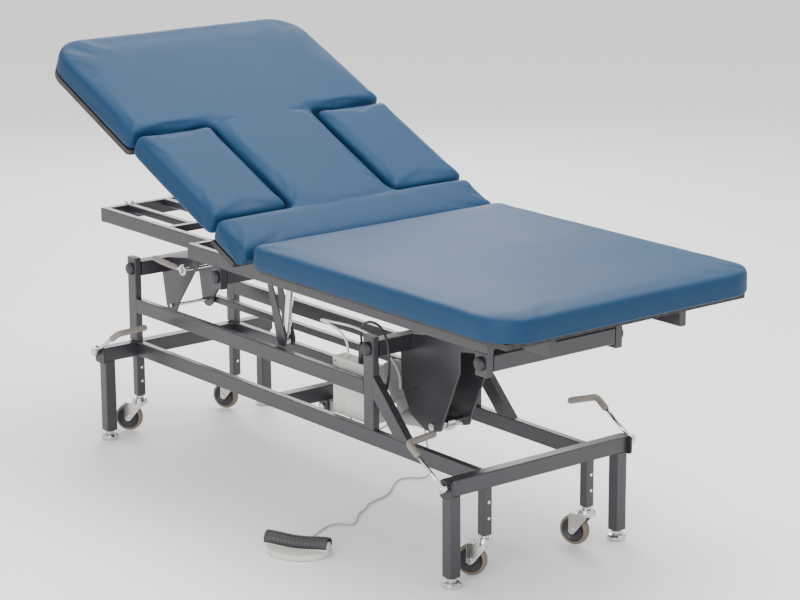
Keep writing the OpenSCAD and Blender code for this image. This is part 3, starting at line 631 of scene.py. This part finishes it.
class EXAMTABLE_OT_levers(bpy.types.Operator):
    """Make the four caster levers and the back release lever"""

    bl_idname = "examtable.levers"
    bl_label = "Levers"

    def execute(self, context):
        for corner, end, side in CORNERS:
            self.caster_lever(corner, end, side)
        self.release_lever()
        return {"FINISHED"}

    def caster_lever(self, corner, end, side):
        """A plated rod out of a hub, and a soft grip bent inward at its top."""
        def placed(v):
            return at(end * v.x, -side * v.y, v.z)

        hub = Vector((755, -279, 252))
        foot = Vector((755, -297, 252))
        bend = Vector((629, -297, 330))
        down = (foot - bend).normalized()
        inward = Vector((-6, 84, 5)).normalized()
        node = f"caster_lever_{corner}"
        rod = bmesh.new()
        add_tube(rod, [placed(foot), placed(bend + down * 34)], 5 * MM)
        add_rounded_tube(rod, [placed(hub + Vector((0, 1, 0))), placed(hub + Vector((0, -23, 0)))], 5.6 * MM)
        axis = placed(hub + Vector((0, -1, 0))) - placed(hub)
        ring = [(0.0085, 0.0), (0.0085, 0.010), (0.0100, 0.0115), (0.0235, 0.0115), (0.0250, 0.010), (0.0250, 0.0)]
        profile = [(along, max(radius, 0.0045)) for along, radius in ring]
        add_lathe(rod, placed(hub), axis, profile, 40)
        finish_piece(object_from(f"caster_rod_{corner}", rod), node, "Chrome Plate", "plated_steel", node)
        grip = bmesh.new()
        corner_curve = [bend + down * 12, bend + down * 5 + inward * 1.2, bend + down * 1.2 + inward * 5,
                        bend + inward * 12]
        line = [bend + down * 38, bend + down * 26] + corner_curve + [bend + inward * 40, bend + inward * 80]
        add_rounded_tube(grip, smooth_path([placed(p) for p in line], 5), 8.5 * MM, 28)
        finish_piece(object_from(f"caster_grip_{corner}", grip), node, "Soft Grip", "grip_rubber")

    def release_lever(self):
        """A tapered grip, its plated ring and the rod under the frame."""
        steel = bmesh.new()
        hub = at(-415, -225, 537)
        ring = [hub + Vector((math.cos(a) * 0.0115, 0, math.sin(a) * 0.0115))
                for a in (math.tau * k / 40 for k in range(41))]
        add_tube(steel, ring, 0.0035, 16)
        add_rounded_tube(steel, [at(-415, -231, 537), at(-415, -101, 537)], 4 * MM)
        add_tube(steel, [at(-426, -225, 537.6), at(-452, -225, 539)], 4.5 * MM)
        finish_piece(object_from("release_rod", steel), "release_lever", "Chrome Plate", "plated_steel",
                     "release_lever")
        grip = bmesh.new()
        line = smooth_path([at(-438, -225, 538), at(-480, -225, 540.4), at(-520, -225, 542.8), at(-552, -225, 545)], 6)
        shape = [(6.6 + 1.5 * math.sin(math.pi * k / (len(line) - 1))) * MM for k in range(len(line))]
        domed = line + [line[-1] + (line[-1] - line[-2]).normalized() * 0.0045 * k for k in (0.6, 1.1)]
        add_tube(grip, domed, shape + [shape[-1] * 0.8, shape[-1] * 0.4], 28)
        finish_piece(object_from("release_grip", grip), "release_lever", "Soft Grip", "grip_rubber")


# ---- Casters ----


class EXAMTABLE_OT_casters(bpy.types.Operator):
    """Make the tread and hub of each caster wheel"""

    bl_idname = "examtable.casters"
    bl_label = "Casters"

    def execute(self, context):
        for corner, _, _ in CORNERS:
            spin = JOINTS[f"spin_{corner}"]
            centre, axis, body = Vector(spin["pos_m"]), Vector(spin["axis"]), f"caster_wheel_{corner}"
            tread = bmesh.new()
            crown = [(-0.0104, 0.0300), (-0.0110, 0.0312), (-0.0109, 0.0335), (-0.0099, 0.0356), (-0.0080, 0.0370),
                     (-0.0050, 0.0378), (0.0, 0.0380)]
            add_lathe(tread, centre, axis, crown + [(-a, r) for a, r in reversed(crown[:-1])], 80)
            finish_piece(object_from(f"tread_{corner}", tread), body, "Caster Tread", "tread", body)
            hub = bmesh.new()
            face = [(-0.0118, 0.0044), (-0.0118, 0.0092), (-0.0100, 0.0106), (-0.0058, 0.0122), (-0.0050, 0.0150),
                    (-0.0052, 0.0236), (-0.0084, 0.0272), (-0.0096, 0.0282), (-0.0097, 0.0306)]
            add_lathe(hub, centre, axis, face + [(-a, r) for a, r in reversed(face)], 64)
            finish_piece(object_from(f"hub_{corner}", hub), body, "Black Moulding", "black_moulding")
        return {"FINISHED"}


# ---- Foot switch ----


class EXAMTABLE_OT_foot_switch(bpy.types.Operator):
    """Make the foot switch's base and its ribbed rocker"""

    bl_idname = "examtable.foot_switch"
    bl_label = "Foot Switch"

    def execute(self, context):
        place = Matrix.Translation(at(341, -419, 0)) @ Matrix.Rotation(math.radians(30), 4, "Z")
        base = bmesh.new()
        wide, deep, back = 0.0825, 0.068, 0.043
        rim = [(wide * math.cos(a), 0.024 + deep * math.sin(a))
               for a in (math.radians(180 + 180 * k / 32) for k in range(33))]
        corner = 0.010
        plate = rim + arc(wide - corner, back - corner, corner, 0, 90, 6)
        plate += arc(-wide + corner, back - corner, corner, 90, 180, 6)
        add_prism(base, plate, 0.0, 0.0145, 0.0045, 5)
        core = bmesh.new()
        self.half_round(core, 0.0815, 0.0150, 0.0050, 0.0, 0.0235)
        shell = object_from("foot_switch_plate", base)
        shell.data.transform(place)
        finish_piece(shell, "base", "Pale Moulding", "grey_moulding", "foot_switch_base")
        inner = object_from("foot_switch_core", core)
        inner.data.transform(place)
        finish_piece(inner, "base", "Pale Moulding", "grey_moulding")
        rocker = bmesh.new()
        self.half_round(rocker, 0.0820, 0.0200, 0.0050, 0.0035, 0.0300)
        cap = object_from("foot_switch_rocker", rocker)
        cap.data.transform(place)
        finish_piece(cap, "foot_switch_pedal", "Black Moulding", "black_moulding", "foot_switch_pedal")
        return {"FINISHED"}

    def half_round(self, bm, half_length, radius, dip, wall, height):
        """A half-round bar along X, dipped in the middle; hollow when it has a wall."""
        steps, turns = 64, 20
        centre = Vector((0, 0.016, height))
        lower = math.radians(17) if wall else math.radians(45)
        rings = []
        for i in range(steps + 1):
            along = 2 * i / steps - 1
            rib = 0.00035 * math.sin(math.pi * i / 2) if wall else 0.0
            sink = dip * math.cos(along * math.pi / 2) ** 2
            line = []
            for reach in ([radius + rib, radius - wall] if wall else [radius]):
                arc_line = [centre + Vector((along * half_length, reach * math.cos(a), reach * math.sin(a) - sink))
                            for a in (-lower + (math.pi + 2 * lower) * k / turns for k in range(turns + 1))]
                line += arc_line if reach >= radius - 0.0005 else list(reversed(arc_line))
            rings.append([bm.verts.new(p) for p in line])
        count = len(rings[0])
        for first, second in zip(rings, rings[1:]):
            for k in range(count):
                bm.faces.new((first[k], first[(k + 1) % count], second[(k + 1) % count], second[k]))
        if wall:
            for ring in (rings[0], rings[-1]):
                for k in range(turns):
                    bm.faces.new((ring[k], ring[k + 1], ring[count - 2 - k], ring[count - 1 - k]))
        else:
            bm.faces.new(rings[0])
            bm.faces.new(rings[-1])


# ---- Cables ----

LEAD_ROUTE = [
    (322, -386, 10), (302, -359, 4), (285, -335, 3), (267, -309, 3), (248, -277, 3), (235, -249, 3),
    (228, -226, 3), (236, -204, 3), (256, -187, 3), (250, -166, 3), (228, -144, 3), (206, -122, 3),
    (193, -98, 3), (178, -76, 3), (160, -54, 3), (148, -18, 3), (138, 16, 3), (116, 50, 3), (86, 84, 3),
    (62, 114, 3), (53, 140, 3), (62, 160, 3), (78, 176, 3), (84, 194, 4), (80, 210, 9), (75, 214, 26),
    (74, 211, 60), (75, 203, 110), (79, 182, 192), (84, 168, 214), (96, 146, 219), (112, 100, 206),
    (128, 46, 194), (146, -10, 190), (160, -64, 200), (169, -102, 226), (171, -117, 246), (171, -119, 260),
]
DRIVE_ROUTE = [
    (164, -119, 407), (164, -119, 428), (156, -119, 448), (132, -119, 466), (100, -121, 474), (76, -123, 479),
    (64, -126, 482), (76, -129, 486), (104, -130, 488), (140, -131, 491), (180, -132, 494), (222, -134, 495),
    (254, -132, 491), (270, -118, 480), (274, -98, 464), (266, -76, 448), (246, -56, 434), (226, -42, 422),
    (222, -36, 408), (240, -34, 394), (258, -34, 374), (265, -33, 352), (262, -31, 330),
]
LOOP_ROUTE = [
    (232, -128, 461), (233, -130, 478), (240, -133, 498), (256, -137, 514), (280, -140, 524), (308, -140, 525),
    (332, -140, 514), (349, -140, 492), (356, -140, 462), (356, -138, 430), (350, -136, 396), (338, -133, 364),
    (322, -130, 336), (304, -127, 316), (285, -126, 306),
]


class EXAMTABLE_OT_cables(bpy.types.Operator):
    """Make the foot switch's lead and the cables of the control box"""

    bl_idname = "examtable.cables"
    bl_label = "Cables"

    def execute(self, context):
        path = smooth_path([at(*p) for p in reversed(LEAD_ROUTE)], 6)
        line = bpy.data.curves.new("switch_cord", "CURVE")
        line.dimensions = "3D"
        line.bevel_depth = 2.3 * MM
        line.bevel_resolution = 5
        line.use_fill_caps = True
        spline = line.splines.new("POLY")
        spline.points.add(len(path) - 1)
        for point, where in zip(spline.points, path):
            point.co = (*where, 1.0)
        cord = bpy.data.objects.new("switch_cord", line)
        context.scene.collection.objects.link(cord)
        finish_piece(cord, "base", "Cable Jacket", "cable_jacket", "switch_lead")

        drive = bmesh.new()
        add_tube(drive, smooth_path([at(*p) for p in DRIVE_ROUTE], 5), 3 * MM, 18)
        finish_piece(object_from("drive_cable", drive), "base", "White Cable", "cable_jacket", "actuator_cables")
        loop = bmesh.new()
        add_tube(loop, smooth_path([at(*p) for p in LOOP_ROUTE], 5), 3.25 * MM, 18)
        add_lathe(loop, at(232, -128, 407), (0, 0, 1),
                  [(0.0, 0.003), (0.0, 0.0085), (0.028, 0.0085), (0.030, 0.0076), (0.041, 0.0076), (0.054, 0.0042),
                   (0.054, 0.003)], 32)
        finish_piece(object_from("mains_loop", loop), "base", "Black Moulding", "cable_jacket")
        return {"FINISHED"}


# ---- Camera, floor and lights ----


class EXAMTABLE_OT_camera(bpy.types.Operator):
    """Place the camera"""

    bl_idname = "examtable.camera"
    bl_label = "Camera"

    def execute(self, context):
        data = bpy.data.cameras.new("camera")
        data.lens = 115.0
        data.sensor_width = 36.0
        data.clip_end = 60.0
        camera = bpy.data.objects.new("camera", data)
        right = Vector((0.62096, 0.78382, -0.00538))
        up = Vector((-0.19213, 0.15885, 0.96843))
        ahead = Vector((-0.75993, 0.60032, -0.24924))
        turned = Matrix((right, up, -ahead)).transposed().to_4x4()
        camera.matrix_world = Matrix.Translation(Vector((4.99736, -3.80062, 2.13722))) @ turned
        context.scene.collection.objects.link(camera)
        context.scene.camera = camera
        return {"FINISHED"}


class EXAMTABLE_OT_stage(bpy.types.Operator):
    """Make the plain floor and the soft studio lights"""

    bl_idname = "examtable.stage"
    bl_label = "Stage"

    def execute(self, context):
        look = context.scene.exam_table_stage
        ground = bmesh.new()
        bmesh.ops.create_grid(ground, x_segments=8, y_segments=8, size=30.0)
        floor = object_from("floor", ground, smooth=False)
        floor.location.z = -0.0005
        mat, shader = new_material("Studio Floor", Roughness=0.65)
        shader.inputs["Base Color"].default_value = (*look.floor_colour, 1.0)
        floor.data.materials.append(mat)
        world = bpy.data.worlds.new("studio")
        context.scene.world = world
        world.use_nodes = True
        sky = world.node_tree.nodes["Background"]
        sky.inputs["Color"].default_value = (1.0, 1.0, 1.0, 1.0)
        sky.inputs["Strength"].default_value = 1.25
        self.softbox(context, "key", Vector((0.4, 0.6, 4.2)), 3.4, look.key_power)
        self.softbox(context, "fill", Vector((2.6, -4.2, 1.9)), 2.6, look.fill_power)
        self.softbox(context, "rim", Vector((-3.6, 2.4, 2.6)), 2.2, look.fill_power * 0.6)
        return {"FINISHED"}

    def softbox(self, context, name, where, size, power):
        """A square area light that looks at the table."""
        light = bpy.data.lights.new(name, "AREA")
        light.shape = "SQUARE"
        light.size = size
        light.energy = power
        obj = bpy.data.objects.new(name, light)
        obj.location = where
        obj.rotation_euler = (Vector((0, 0, 0.5)) - where).to_track_quat("-Z", "Y").to_euler()
        context.scene.collection.objects.link(obj)


class EXAMTABLE_PT_panel(bpy.types.Panel):
    """Builds the exam table piece by piece"""

    bl_idname = "EXAMTABLE_PT_panel"
    bl_label = "Exam Table"
    bl_space_type = "VIEW_3D"
    bl_region_type = "UI"
    bl_category = "Exam Table"

    def draw(self, context):
        for group in (context.scene.exam_table_upholstery, context.scene.exam_table_finishes,
                      context.scene.exam_table_stage):
            box = self.layout.box()
            for name in group.bl_rna.properties.keys():
                if name not in {"rna_type", "name"}:
                    box.prop(group, name)
        for operator in OPERATORS:
            self.layout.operator(operator.bl_idname)


GROUPS = {
    "exam_table_upholstery": ExamTableUpholstery,
    "exam_table_finishes": ExamTableFinishes,
    "exam_table_stage": ExamTableStage,
}
OPERATORS = (
    EXAMTABLE_OT_camera, EXAMTABLE_OT_cables, EXAMTABLE_OT_frame, EXAMTABLE_OT_pads, EXAMTABLE_OT_levers,
    EXAMTABLE_OT_casters, EXAMTABLE_OT_foot_switch, EXAMTABLE_OT_stage,
)


def register():
    for group in GROUPS.values():
        bpy.utils.register_class(group)
    for name, group in GROUPS.items():
        setattr(bpy.types.Scene, name, bpy.props.PointerProperty(type=group))
    for made in (*OPERATORS, EXAMTABLE_PT_panel):
        bpy.utils.register_class(made)


def unregister():
    for made in reversed((*OPERATORS, EXAMTABLE_PT_panel)):
        bpy.utils.unregister_class(made)
    for name, group in GROUPS.items():
        delattr(bpy.types.Scene, name)
        bpy.utils.unregister_class(group)


def main():
    register()
    for step in ("camera", "cables", "frame", "pads", "levers", "casters", "foot_switch", "stage"):
        getattr(bpy.ops.examtable, step)()
    bpy.context.view_layer.update()


if __name__ == "__main__":
    main()
